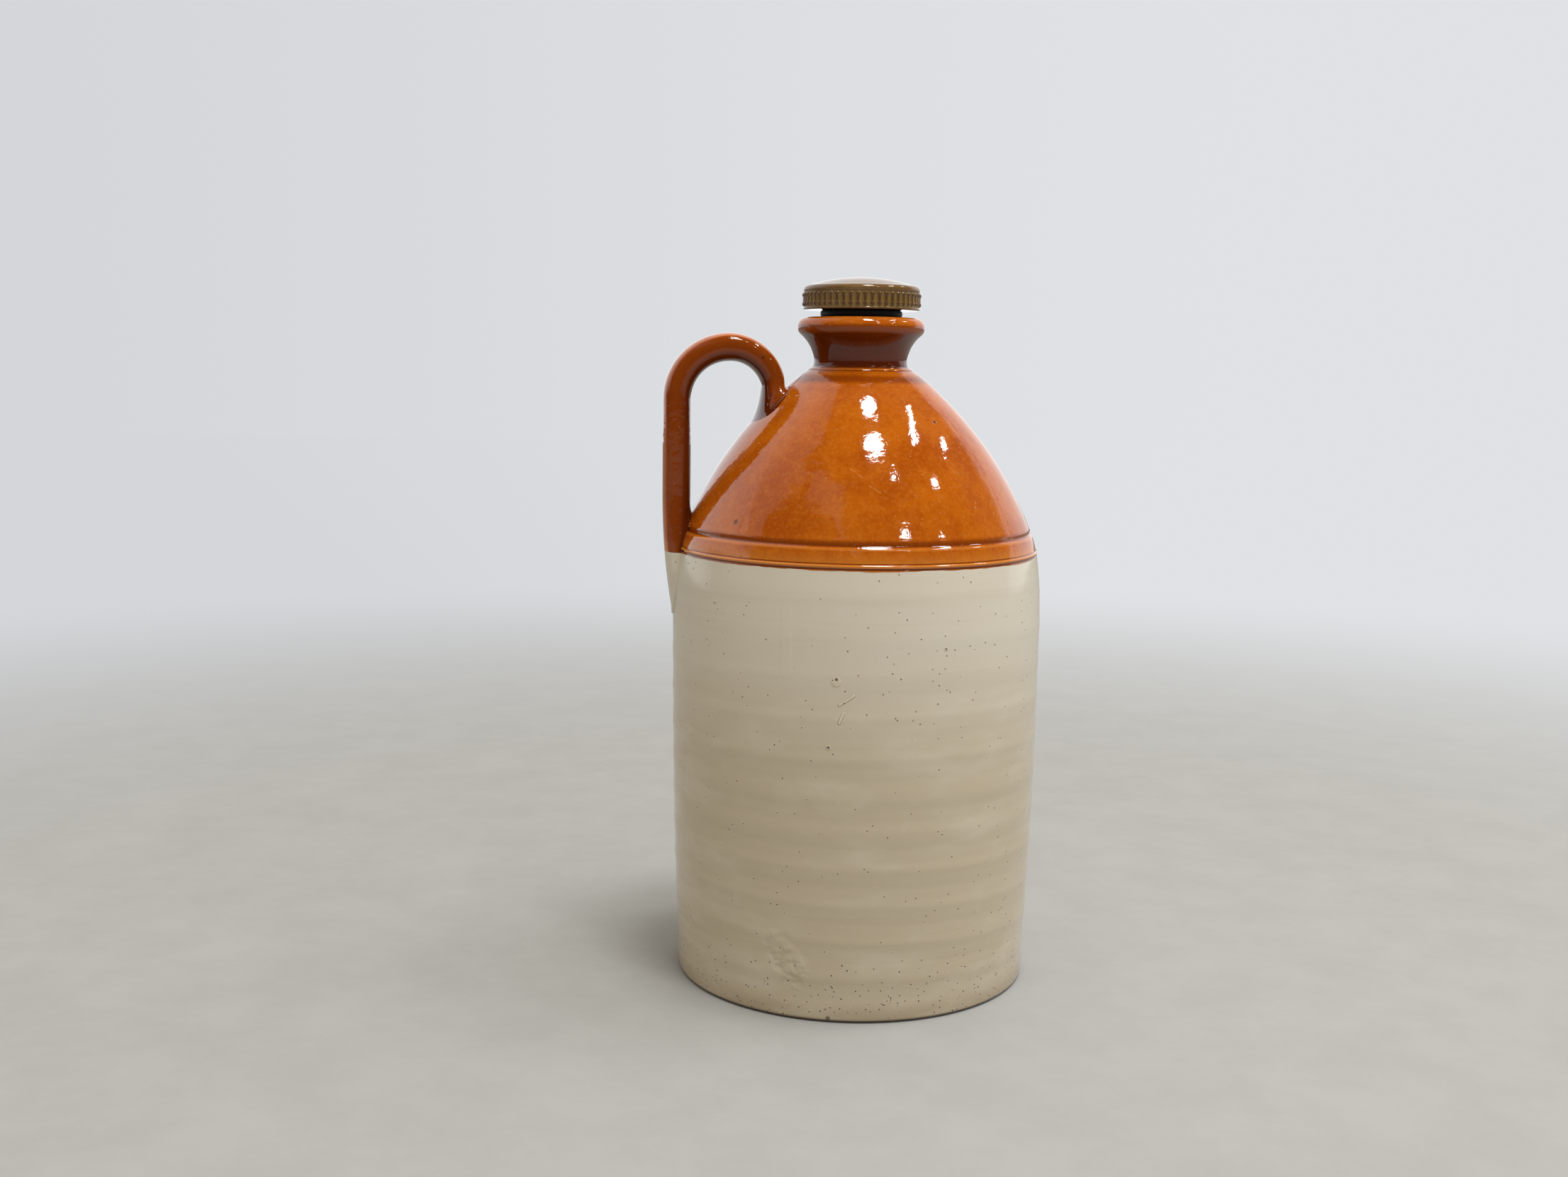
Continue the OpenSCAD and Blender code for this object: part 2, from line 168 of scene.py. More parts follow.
def skin_object(name, rings, poles, **attributes):
    """Closed skin over rings of points (rows x columns x 3) with one pole at each end. Faces join each ring
    to the next, and fans join the end rings to the poles. Attributes hold a value for each ring point."""
    rows, columns = rings.shape[:2]
    points = np.vstack([rings.reshape(-1, 3), poles])
    here = np.arange(rows * columns).reshape(rows, columns)
    beside = np.roll(here, -1, axis=1)
    quads = np.stack([here[:-1], beside[:-1], beside[1:], here[1:]], axis=-1).reshape(-1, 4)
    first, last = rows * columns, rows * columns + 1
    fans = [np.stack([np.full(columns, first), beside[0], here[0]], axis=-1),
            np.stack([np.full(columns, last), here[-1], beside[-1]], axis=-1)]
    mesh = bpy.data.meshes.new(name)
    mesh.from_pydata(points.tolist(), [], np.vstack(fans).tolist() + quads.tolist())
    mesh.shade_smooth()
    for key, values in attributes.items():
        ends = [values.reshape(rows, columns)[0].mean(), values.reshape(rows, columns)[-1].mean()]
        layer = mesh.attributes.new(key, "FLOAT", "POINT")
        layer.data.foreach_set("value", np.concatenate([values.ravel(), ends]).astype(np.float32))
    made = bpy.data.objects.new(name, mesh)
    bpy.context.collection.objects.link(made)
    return made


def bend_of(outline):
    """Bend of an outline in radians per metre, positive in hollows: change of heading over length."""
    ahead_of = np.diff(outline, axis=0)
    heading = np.unwrap(np.arctan2(ahead_of[:, 1], ahead_of[:, 0]))
    length = np.linalg.norm(ahead_of, axis=1)
    bend = -np.diff(heading) / (length[:-1] + length[1:]) * 2
    return np.concatenate([[0], bend, [0]])


def turning(outline, columns):
    """The angles of a number of columns round Z, and an outline's r and z as one column each."""
    return 2 * np.pi * np.arange(columns) / columns, outline[:, 0, None], outline[:, 1, None]


def turned(angle, r, z):
    """Points (r cos a, r sin a, z) for rows of r and z and columns of angles a."""
    return np.stack([r * np.cos(angle), r * np.sin(angle), z + 0 * angle], axis=-1)


lip_roll = np.array([LIP_R - LIP_ROLL, LIP_Z - LIP_ROLL])
under_angle = math.radians(UNDER_LIP)
under_lip = lip_roll + LIP_ROLL * np.array([math.cos(under_angle), math.sin(under_angle)])
side = side_line()
outside = np.vstack([
    line([4 * mm, FOOT_DISH], [DISH_R, FOOT_DISH], 5),
    line([DISH_R, FOOT_DISH], [STAND_R, 0], 2),
    line([STAND_R, 0], [FOOT_R - FOOT_ROUND, 0], 3),
    arc([FOOT_R - FOOT_ROUND, FOOT_ROUND], FOOT_ROUND, -90, -12, 5),
    side,
    curve([NECK_R, NECK_Z], NECK_LEAN, [WAIST_R, WAIST_Z], 0, 36),
    curve([WAIST_R, WAIST_Z], 0, under_lip, UNDER_LIP, 16),
    arc(lip_roll, LIP_ROLL, UNDER_LIP, 90, 16),
    line([LIP_R - LIP_ROLL - 0.5 * mm, LIP_Z], [BORE_R + MOUTH_BEVEL, LIP_Z], 5),
    line([BORE_R + MOUTH_BEVEL, LIP_Z], [BORE_R, LIP_Z - MOUTH_BEVEL], 4)])
coarse = side_line(0.3)
along = np.gradient(coarse, axis=0)
inward = np.column_stack([-along[:, 1], along[:, 0]])
inner = coarse + WALL * inward / np.linalg.norm(along, axis=1)[:, None]
corner = np.array([inner[1, 0] - FLOOR_ROUND, FLOOR_T + FLOOR_ROUND])
inner = inner[inner[:, 1] > corner[1] + 4 * mm]
inside = np.vstack([
    line([BORE_R, LIP_Z - MOUTH_BEVEL], [BORE_R, NECK_Z + 1 * mm], 44),
    curve(inner[-1], NECK_LEAN, [BORE_R, NECK_Z + 1 * mm], 0, 6)[::-1],
    inner[::-1],
    arc(corner, FLOOR_ROUND, 0, -90, 6),
    line([corner[0] - 1 * mm, FLOOR_T], [2 * mm, FLOOR_T], 4)])
outline = np.vstack([outside, inside])

angle, r, z = turning(outline, BODY_COLUMNS)
is_outside = (np.arange(len(outline)) < len(outside))[:, None]
# Tooling in mm: a fine line and the dent under it, the groove and its upper lip, a ring at the neck's foot
tooled = (0.5 * hump(z, LINE_Z, 0.8 * mm) - 0.25 * hump(z, LINE_Z - 1.3 * mm, 0.8 * mm)
          - 0.9 * np.where(z > GROOVE_Z, hump(z, GROOVE_Z, 1.0 * mm), hump(z, GROOVE_Z, 1.9 * mm))
          + 0.15 * hump(z, GROOVE_Z + 1.6 * mm, 0.9 * mm) + 0.45 * hump(z, NECK_Z + 2.9 * mm, 0.8 * mm)
          - 0.15 * hump(z, NECK_Z + 4.2 * mm, 0.7 * mm)) * mm
in_bore = ~is_outside & (z > NECK_Z)
away = ridge_phase(angle, z, THREAD_PITCH)
thread = THREAD_DEPTH * hump(away, 0, BORE_THREAD_HALF) * soft_step(z, NECK_Z + 0.5 * mm, NECK_Z + 4 * mm)
radius = (r + np.where(is_outside & (z > TOOLED_FROM) & (z < TOOLED_TO), tooled, 0)
          + np.where(in_bore, thread, 0) - np.where(is_outside & (r > NECK_R), throwing(angle, z), 0))
rings = turned(angle, radius, z)
# How hollow the outline is steers where the amber thins and pools; painted shade is added to it on the neck
# under the lip, in a band below the neck's ring and on the lip's lower half
tooled_r = np.where(is_outside & (z > TOOLED_FROM), tooled, 0)
tooled_line = outline + np.column_stack([tooled_r, 0 * z])
bend = np.convolve(bend_of(tooled_line), np.ones(5) / 5, "same")[:, None] * mm
waist = soft_step(z, NECK_Z + 3 * mm, NECK_Z + 5 * mm) * (1 - soft_step(z, LIP_Z - 13 * mm, LIP_Z - 3 * mm))
under_roll = soft_step(z, LIP_Z - 12 * mm, LIP_Z - 9 * mm) * (1 - soft_step(z, LIP_Z - 5 * mm, LIP_Z))
painted_neck_shade = is_outside * (waist + 0.34 * hump(z, NECK_Z - 1.6 * mm, 3.6 * mm) + 0.44 * under_roll)
body = skin_object("turned_body", rings, [[0, 0, FOOT_DISH], [0, 0, FLOOR_T]],
                   hollow=np.repeat(bend + painted_neck_shade, BODY_COLUMNS, axis=1))
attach(body, "flagon")
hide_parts("flagon")


# The glazes of the flagon
# The whole pot was dipped in a clear cream glaze, then head down in an amber one, which ends in a clean wavy
# line at the brow. Amber glaze thins to orange over edges and pools red-brown in hollows. Painted shade
# darkens the amber on the neck under the lip, below the neck's ring, on the lip's lower half, on the strap's
# sides and inside its arch.
class Socket:
    """A socket of a node tree. Arithmetic on it adds Math nodes, so a pattern reads as a formula."""

    def __init__(self, tree, socket=None):
        self.tree, self.socket = tree, socket

    def node(self, kind, settings, sockets, out=0):
        """Add a node: its settings first, then the values or links of its sockets."""
        added = self.tree.nodes.new("ShaderNode" + kind)
        for name, value in settings.items():
            setattr(added, name, value)
        for name, value in sockets.items():
            if isinstance(value, Socket):
                self.tree.links.new(value.socket, added.inputs[name])
            else:
                added.inputs[name].default_value = value
        return Socket(self.tree, added.outputs[out] if added.outputs else None)

    def math(self, operation, *others):
        """A Math node on this socket and the others."""
        return self.node("Math", {"operation": operation}, dict(enumerate([self, *others])))

    def __add__(self, other):
        return self.math("ADD", other)

    __radd__ = __add__

    def __mul__(self, other):
        return self.math("MULTIPLY", other)

    __rmul__ = __mul__

    def __sub__(self, other):
        return self.math("SUBTRACT", other)

    def __rsub__(self, other):
        return self * -1 + other


def new_material(name):
    """An empty material and its Object coordinates."""
    material = bpy.data.materials.new(name)
    material.use_nodes = True
    material.node_tree.nodes.clear()
    return material, Socket(material.node_tree).node("TexCoord", {}, {}, "Object")


def height_of(place):
    """The z of a place."""
    return place.node("SeparateXYZ", {}, {"Vector": place}, "Z")


def noise(place, size, detail=2, roughness=0.5, stretch=(1, 1, 1)):
    """Cloudy noise about 0.5 with features of a size in metres, squeezed along each axis by stretch."""
    moved = place.node("Mapping", {}, {"Vector": place, "Scale": stretch})
    return place.node("TexNoise", {}, {"Vector": moved, "Scale": 0.5 / size, "Detail": detail,
                                       "Roughness": roughness}, "Fac")


def between(value, lo, hi):
    """0 below lo, 1 above hi, smooth between them; turned over if lo is above hi."""
    return value.node("MapRange", {"interpolation_type": "SMOOTHSTEP"},
                      {"Value": value, "From Min": lo, "From Max": hi})


def mix(factor, a, b):
    """Colour a where factor is 0 and b where it is 1."""
    colour = {6: a if isinstance(a, Socket) else (*a, 1), 7: b if isinstance(b, Socket) else (*b, 1)}
    return factor.node("Mix", {"data_type": "RGBA"}, {0: factor, **colour}, 2)


def pits(place, size, spread, share):
    """Round pits of about a size, one for each cell of width spread, kept in a share of the cells: 1 in the
    holes, and 1 in the holes and the rims round them."""
    askew = place.node("Mapping", {}, {"Vector": place, "Rotation": (0.6, 0.4, 0.9)})
    distance = place.node("TexVoronoi", {}, {"Vector": askew, "Scale": 1 / spread}, "Distance")
    lot = Socket(place.tree, distance.socket.node.outputs["Color"])
    kept = lot.node("SeparateColor", {}, {"Color": lot}, 0).math("LESS_THAN", share)
    return (between(distance, size / spread, 0.5 * size / spread) * kept,
            between(distance, 2 * size / spread, 1.1 * size / spread) * kept)


def side_radius(height_at):
    """Radius of the turned body at a height."""
    return np.interp(height_at, side[:, 1], side[:, 0])


def on_side(azimuth, z):
    """Point of the side at an azimuth in degrees, from the handle towards the front, and a height in mm."""
    a, r = math.radians(azimuth), side_radius(z * mm)
    return np.array([-r * math.cos(a), -r * math.sin(a), z * mm])


def near(place, start, end):
    """Distance of a place from the straight line between two points."""
    along = end - start
    away = place.node("VectorMath", {"operation": "SUBTRACT"}, {0: place, 1: tuple(start)}, "Vector")
    per_length = tuple(along / along.dot(along))
    share = place.node("VectorMath", {"operation": "DOT_PRODUCT"}, {0: away, 1: per_length}, "Value")
    share = share.math("MINIMUM", 1.0).math("MAXIMUM", 0.0)
    foot = place.node("VectorMath", {"operation": "SCALE"}, {0: tuple(along), "Scale": share}, "Vector")
    return place.node("VectorMath", {"operation": "DISTANCE"}, {0: away, 1: foot}, "Value")


def stroke(place, start, end, half):
    """1 on a straight mark from start to end, both azimuth and height, and 0 beyond half mm from it."""
    return between(near(place, on_side(*start), on_side(*end)), half * mm, 0.5 * half * mm)


def spot(place, centre, half):
    """1 in a round spot about a point in metres, 0 beyond half mm from it."""
    away = place.node("VectorMath", {"operation": "DISTANCE"}, {0: place, 1: tuple(centre)}, "Value")
    return between(away, half * mm, 0.5 * half * mm)


def largest(first, *others):
    """The largest of several values."""
    for other in others:
        first = first.math("MAXIMUM", other)
    return first


def finish_material(material, place, height, depth, **sockets):
    """Put a Principled shader on the material, with a bump of a depth in metres from a height of 0 to 1."""
    normal = place.node("Bump", {}, {"Height": height, "Distance": depth, "Strength": 1.0})
    named = {key.replace("_", " ").title().replace("Ior", "IOR"): value for key, value in sockets.items()}
    shader = place.node("BsdfPrincipled", {}, {"Normal": normal, **named})
    place.node("OutputMaterial", {}, {"Surface": shader})


CREAM = (0.478, 0.403, 0.285)
CREAM_TAN = (0.40, 0.32, 0.20)
CREAM_PALE = (0.62, 0.565, 0.46)
FOOT_TAN = (0.30, 0.22, 0.13)
AMBER = (0.42, 0.095, 0.002)
AMBER_THIN = (0.60, 0.215, 0.030)
AMBER_DEEP = (0.31, 0.052, 0.001)
RED_BROWN = (0.19, 0.032, 0.001)
SHADE_AND_POOL_BROWN = (0.092, 0.013, 0.001)
PIT_AND_SHADE_BROWN = (0.05, 0.03, 0.018)
HOLE_RIM, SCUFF_PALE, RUST_RED = (0.62, 0.50, 0.38), (0.66, 0.57, 0.44), (0.22, 0.05, 0.01)
IRON_BROWN, GRAIN_ORANGE = (0.07, 0.02, 0.004), (0.75, 0.36, 0.12)

GLAZE_EDGE, GLAZE_WAVER, GLAZE_SOFT, GLAZE_RELIEF = 203 * mm, 2.4 * mm, 0.12 * mm, 0.2 * mm
PINHOLE, FOOT_PIT, IRON_FLECK, GRAIN = 0.42 * mm, 0.5 * mm, 0.32 * mm, 0.36 * mm
stoneware, place = new_material("stoneware_glazes")
height = height_of(place)
hollow = place.node("Attribute", {"attribute_name": "hollow"}, {}, "Fac")
waver = noise(place, 12 * mm, 3, 0.6, (1, 1, 0.2))
above = height + waver * GLAZE_WAVER - GLAZE_WAVER / 2
is_amber = between(above, GLAZE_EDGE - GLAZE_SOFT, GLAZE_EDGE + GLAZE_SOFT)

cloud = noise(place, 22 * mm, 3, 0.6, (1, 1, 2.5))
turned_streaks = noise(place, 4 * mm, 4, 0.65, (0.03, 0.03, 1))
speck = noise(place, 0.9 * mm, 2, 0.7)
low = between(height, 110 * mm, 5 * mm)
pinholes, pinhole_rims = pits(place, PINHOLE, 3.0 * mm, 0.3 + low * 0.15)
foot_pits, foot_rims = pits(place, FOOT_PIT, 2.1 * mm, between(height, 30 * mm, 6 * mm) * 0.6)
# Marks of this flagon, by azimuth in degrees and height in mm. They were read by eye in the photograph, put
# on the side by a camera fit outside this script, and rounded. Two plain scuffs stand for an unclear mark.
CRATER, DEEP_HOLE, RIGHT_HOLE, UPPER_HOLE = (78, 155), (76, 126), (110, 169), (37, 185)
LOW_HOLE, BROWN_HOLE, FOOT_CHIP = (85, 75), (110, 96), (77, 2)
SCUFF, SHORT_SCUFF = ((83, 149), (79, 145)), ((80, 141), (79, 137))
LUMPS, DRIP, RUST = ((61, 33), (67, 22)), ((63, 186), (63, 158)), ((100, 12), (102, 12))
CRATER_HOLE_UP = np.array([0, 0, 1.2 * mm])
holes = largest(spot(place, on_side(*CRATER) + CRATER_HOLE_UP, 0.9), spot(place, on_side(*DEEP_HOLE), 0.9),
                spot(place, on_side(*RIGHT_HOLE), 0.7), spot(place, on_side(*UPPER_HOLE), 0.6),
                spot(place, on_side(*LOW_HOLE), 0.5), spot(place, on_side(*BROWN_HOLE), 0.6),
                spot(place, on_side(*FOOT_CHIP), 1.3))
hole_rims = largest(spot(place, on_side(*CRATER), 2.8), spot(place, on_side(*DEEP_HOLE), 1.5),
                    spot(place, on_side(*RIGHT_HOLE), 1.3), spot(place, on_side(*UPPER_HOLE), 1.3))
scar = largest(stroke(place, *SCUFF, 0.9), stroke(place, *SHORT_SCUFF, 0.9))
rust = stroke(place, *RUST, 0.45)
lumps = stroke(place, *LUMPS, 9) * (noise(place, 4.5 * mm, 2) - 0.5)
drip = stroke(place, *DRIP, 3.2) * noise(place, 3 * mm, 2)
pinholes = largest(pinholes, foot_pits, holes)
rims = largest(pinhole_rims * 0.5, foot_rims * 0.5, hole_rims)

cream = mix(between(height, 100 * mm, 185 * mm) * 0.9, CREAM, CREAM_PALE)
cream = mix(between(turned_streaks, 0.45, 0.75) * (0.15 + low * 0.2), cream, CREAM_TAN)
cream = mix(between(cloud, 0.45, 0.75) * 0.35, cream, CREAM_PALE)
cream = mix(rims * 0.5, cream, HOLE_RIM)
cream = mix(scar * 0.7, cream, SCUFF_PALE)
cream = mix(pinholes * 0.85, cream, PIT_AND_SHADE_BROWN)
cream = mix(between(height, 14 * mm, 1.5 * mm) * between(cloud, 0.25, 0.6) * 0.6, cream, FOOT_TAN)
cream = mix(rust * 0.8, cream, RUST_RED)
# The foot's rounding is painted dark brown: bare clay, and painted shade in the gap under the foot
cream = mix(between(height, 2.2 * mm, 0.6 * mm), cream, PIT_AND_SHADE_BROWN)

mottle = noise(place, 2.2 * mm, 4, 0.7)
# Red-brown where the glaze pools in hollows, and painted shade on the neck under the lip, below its ring and
# on the strap's sides
pooled_and_shaded = between(hollow + (cloud - 0.5) * 0.1, 0.03, 0.35)
thinned = between(0 - hollow + (cloud - 0.5) * 0.06, 0.06, 0.32)
blotch = noise(place, 16 * mm, 4, 0.65)
amber = mix(between(blotch, 0.40, 0.62) * 0.75, AMBER, AMBER_DEEP)
amber = mix(between(speck, 0.55, 0.35) * 0.15, amber, AMBER_THIN)
amber = mix(between(mottle, 0.50, 0.72) * 0.45, amber, AMBER_DEEP)
amber = mix(between(mottle, 0.44, 0.30) * 0.15, amber, AMBER_THIN)
amber = mix(thinned * 0.3, amber, AMBER_THIN)
amber = mix(between(above, GLAZE_EDGE + 9 * mm, GLAZE_EDGE + 1 * mm) * 0.6, amber, AMBER_THIN)
amber = mix(pooled_and_shaded * 0.9, amber, RED_BROWN)
# Painted shade: dark brown on the neck under the lip and inside the strap's arch, and in the deepest hollows
# of the glaze
amber = mix(between(hollow, 0.45, 0.95), amber, SHADE_AND_POOL_BROWN)
iron = pits(place, IRON_FLECK, 3.2 * mm, 0.4)[0]
grains = pits(place, GRAIN, 2.6 * mm, 0.45)[0]
# Marks in the amber glaze, given as above; the one on the handle has its x, y and z in mm
IRON_SPOT, BLISTER, GREY_SPOT, HANDLE_SPOT = (40, 284), (40, 221), (126, 266), (-47, -11, 294)
SMEAR, SCRATCH, NEXT_SCRATCH = ((10, 284), (19, 272)), ((80, 246), (85, 242)), ((87, 239), (91, 236))
spots = largest(spot(place, on_side(*IRON_SPOT), 0.9), spot(place, on_side(*BLISTER), 1.6),
                spot(place, on_side(*GREY_SPOT), 1.3), spot(place, np.array(HANDLE_SPOT) * mm, 1.3))
smear = stroke(place, *SMEAR, 3.6) * noise(place, 5 * mm, 2)
scratches = largest(stroke(place, *SCRATCH, 0.35), stroke(place, *NEXT_SCRATCH, 0.3))
amber = mix((smear * 1.3).math("MINIMUM", 1.0), amber, RED_BROWN)
amber = mix(largest(iron * 0.8, spots * 0.85, between(speck, 0.70, 0.80) * 0.5), amber, IRON_BROWN)
amber = mix(largest(grains * 0.15, scratches * between(speck, 0.40, 0.55) * 0.35), amber, GRAIN_ORANGE)

ripple = noise(place, 7 * mm, 2, 0.5)
fine_ripple = noise(place, 3 * mm, 3, 0.55)
amber_relief = (ripple * 0.6 + fine_ripple * 0.6 + grains * 0.5 + turned_streaks * 0.2 + smear * 4
                - spots * 0.6 + 0.6)
cream_relief = (ripple * 0.35 + turned_streaks * 0.25 + rims * 0.35 + hole_rims - pinholes * 0.9
                + scar * 2.4 + lumps * 14 + drip * 0.8)
finish_material(
    stoneware, place, cream_relief + is_amber * (amber_relief - cream_relief), GLAZE_RELIEF,
    base_color=mix(is_amber, cream, amber),
    roughness=0.12 - is_amber * 0.07,
    ior=1.5)
body.data.materials.append(stoneware)


# The strap handle
# A strap of the same clay, pulled by hand. Its upper end is pressed on the shoulder and spreads there, and
# its tail is smeared down the side. It was glazed and fired with the pot.
GRIP_REACH, ARCH_RISE, ARCH_OUT, ARCH_IN = 86.4 * mm, 12.4 * mm, 24.6 * mm, 21.2 * mm
STRAP_T, STRAP_W, TAIL_W = 13.2 * mm, 23 * mm, 25 * mm
ROOT_W, ROOT_T, ROOT_SINK, ROOT_DROP = 36 * mm, 20 * mm, 3.5 * mm, 4.2 * mm
TAIL_DROP, TAIL_TOP, TAIL_TIP = 28 * mm, 30 * mm, 0.55
ARCH_END, ARCH_THIN, SQUARE = 68, 0.88, 0.68
FILLET_OUTSIDE, FILLET_INSIDE, SINK, SLOPE_COS = 1.2 * mm, 9 * mm, 0.5 * mm, 0.72
FLARE_OUTSIDE, FLARE_INSIDE, FLARE_TO = 0.8 * mm, 2.5 * mm, 245 * mm
PRESS_FROM = 104    # row of the strap just past the top of its arch, from which its root is looked for
STRAP_COLUMNS = 72


def blend(a, b, t):
    """a where t is 0 and b where it is 1."""
    return a + (b - a) * t


def strap_stations():
    """Stations of [distance from Z, height, heading, half thickness, half width, wrap] from the tip of the
    tail up the grip, over the arch and down into the shoulder. A wrap of 1 bends the section round Z."""
    arch_z = NECK_Z + ARCH_RISE
    grip_top, arch_x, root_z = arch_z - ARCH_OUT, GRIP_REACH - ARCH_OUT, arch_z - ARCH_IN
    tail_z = BROW_Z - TAIL_DROP

    t = np.linspace(0, 1, 48)
    ease = soft_step(t, 0, 1)
    outer = blend(side_radius(tail_z) + 0.3 * mm, GRIP_REACH + STRAP_T / 2, 1 - (1 - t) ** 2.2)
    within = blend(side_radius(tail_z) - 0.7 * WALL, GRIP_REACH - STRAP_T / 2, ease)
    half_w = TAIL_W / 2 * blend(TAIL_TIP, 1, np.sqrt(np.minimum(1, 3 * t)))
    late = soft_step(2 * t - 1, 0, 1)
    tail = np.column_stack([(outer + within) / 2, blend(tail_z, BROW_Z + TAIL_TOP, t), 90 + 0 * t,
                            (outer - within) / 2, blend(half_w, STRAP_W / 2, late), 1 - ease])

    t = np.linspace(0, 1, 25)[1:]
    same = 1 + 0 * t
    grip = np.column_stack([GRIP_REACH * same, blend(BROW_Z + TAIL_TOP, grip_top, t), 90 * same,
                            STRAP_T / 2 * same, STRAP_W / 2 * same, 0 * same])

    t = np.linspace(0, 1, 31)[1:]
    same = 1 + 0 * t
    a = np.radians(90 * t)
    over = np.column_stack([arch_x + ARCH_OUT * np.cos(a), grip_top + ARCH_OUT * np.sin(a), 90 + 90 * t,
                            STRAP_T / 2 * same, STRAP_W / 2 * same, 0 * same])
    t = t[:-1]
    same = same[:-1]
    a = np.radians(90 + ARCH_END * t)
    down = np.column_stack([arch_x + ARCH_IN * np.cos(a), root_z + ARCH_IN * np.sin(a), 180 + ARCH_END * t,
                            STRAP_T / 2 * blend(1, ARCH_THIN, t), STRAP_W / 2 * same, 0 * same])

    foot_z = root_z - ROOT_DROP
    slope = side_radius(foot_z - 1 * mm) - side_radius(foot_z + 1 * mm)
    into = 180 + math.degrees(math.atan2(slope, 2 * mm))
    turned_to, end = 180 + ARCH_END, math.radians(ARCH_END)
    start = [arch_x - ARCH_IN * math.sin(end), root_z + ARCH_IN * math.cos(end)]
    sunk = ROOT_SINK * np.array([math.cos(math.radians(into)), math.sin(math.radians(into))])
    stop = np.array([side_radius(foot_z), foot_z]) + sunk
    path = np.vstack([curve(start, turned_to - 90, stop, into - 90, 24), [stop]])
    t = np.linspace(0, 1, 25)
    ease = soft_step(t, 0, 1)
    spread = t ** 1.8
    root = np.column_stack([path, blend(turned_to, into, ease),
                            blend(STRAP_T * ARCH_THIN, ROOT_T, spread) / 2,
                            blend(STRAP_W, ROOT_W, spread) / 2, ease])
    return np.vstack([tail, grip, over, down, root])


def signed_power(v, e):
    """v to the power e with its sign kept."""
    return np.sign(v) * np.abs(v) ** e


def strap_rings(stations):
    """The rounded oblong section (half_t cos^SQUARE a, half_w sin^SQUARE a) at each station, bent round Z by
    its wrap. The points are (-r cos w, r sin w, z), with w the way across the strap over its distance."""
    dist, z, heading, half_t, half_w, wrap = [stations[:, i, None] for i in range(6)]
    a = 2 * np.pi * np.arange(STRAP_COLUMNS) / STRAP_COLUMNS
    out = half_t * signed_power(np.cos(a), SQUARE)
    across = -half_w * signed_power(np.sin(a), SQUARE)
    r = dist + out * np.sin(np.radians(heading))
    w = across / dist
    return np.stack([-blend(r, r * np.cos(w), wrap), blend(across, r * np.sin(w), wrap),
                     z - out * np.cos(np.radians(heading))], axis=-1), np.cos(a)


def grid_normals(grid):
    """Unit normals of a grid that closes along its columns: the cross product of its central differences."""
    down_rows = np.gradient(grid, axis=0)
    round_columns = np.roll(grid, -1, axis=1) - np.roll(grid, 1, axis=1)
    normal = np.cross(round_columns, down_rows)
    return normal / np.linalg.norm(normal, axis=-1, keepdims=True)


def clearance(points):
    """Rough distance of points from the turned body: the way out from its side, times cos of its slope."""
    return SLOPE_COS * (np.hypot(points[..., 0], points[..., 1]) - side_radius(points[..., 2]))


def at_row(grid, row):
    """Points of a grid at a fractional row of each column, straight between its rows."""
    low = np.clip(np.floor(row).astype(int), 0, len(grid) - 2)
    column = np.arange(grid.shape[1])
    return blend(grid[low, column], grid[low + 1, column], (row - low)[..., None])


def row_at_level(height, level, first):
    """Fractional row at which each column of heights first falls to its level, from row first on."""
    after = first + (height[first:] < level).argmax(axis=0)
    column = np.arange(height.shape[1])
    above, under = height[after - 1, column], height[after, column]
    return after - 1 + (above - level) / (above - under)


def press_root(grid, fillet, first):
    """The strap's last rows, bent over a fillet into the shoulder: (1-t)^2 s + 2 t (1-t) p + t^2 q, where s
    is the fillet above the shoulder, p meets it and q lies the fillet further out, just under its skin."""
    height = clearance(grid)
    start = row_at_level(height, fillet, first)
    s, p = at_row(grid, start), at_row(grid, row_at_level(height, 0, first))
    outward = np.column_stack([p[:, :2] / np.linalg.norm(p[:, :2], axis=1)[:, None],
                               (side_radius(p[:, 2] - mm) - side_radius(p[:, 2] + mm)) / (2 * mm)])
    outward /= np.linalg.norm(outward, axis=1)[:, None]
    spread = p - p.mean(axis=0)
    spread -= (spread * outward).sum(axis=1)[:, None] * outward
    q = p + fillet[:, None] * spread / np.linalg.norm(spread, axis=1)[:, None]
    q[:, :2] *= ((side_radius(q[:, 2]) - SINK) / np.hypot(q[:, 0], q[:, 1]))[:, None]
    run = first + np.linspace(0, 1, 44)[:, None] * (start - first)
    t = np.linspace(0, 1, 15)[1:, None, None]
    return np.vstack([grid[:first], at_row(grid, run), (1 - t) ** 2 * s + 2 * t * (1 - t) * p + t * t * q])


strap, facing_out = strap_rings(strap_stations())
share_out = (1 + facing_out) / 2
flare_r = blend(FLARE_INSIDE, FLARE_OUTSIDE, share_out)
gap = np.clip(clearance(strap), 0, flare_r)
flare = (flare_r - np.sqrt(flare_r ** 2 - (flare_r - gap) ** 2)) * (strap[..., 2] < FLARE_TO)
strap = strap + grid_normals(strap) * flare[..., None]
strap = press_root(strap, blend(FILLET_INSIDE, FILLET_OUTSIDE, share_out), PRESS_FROM)
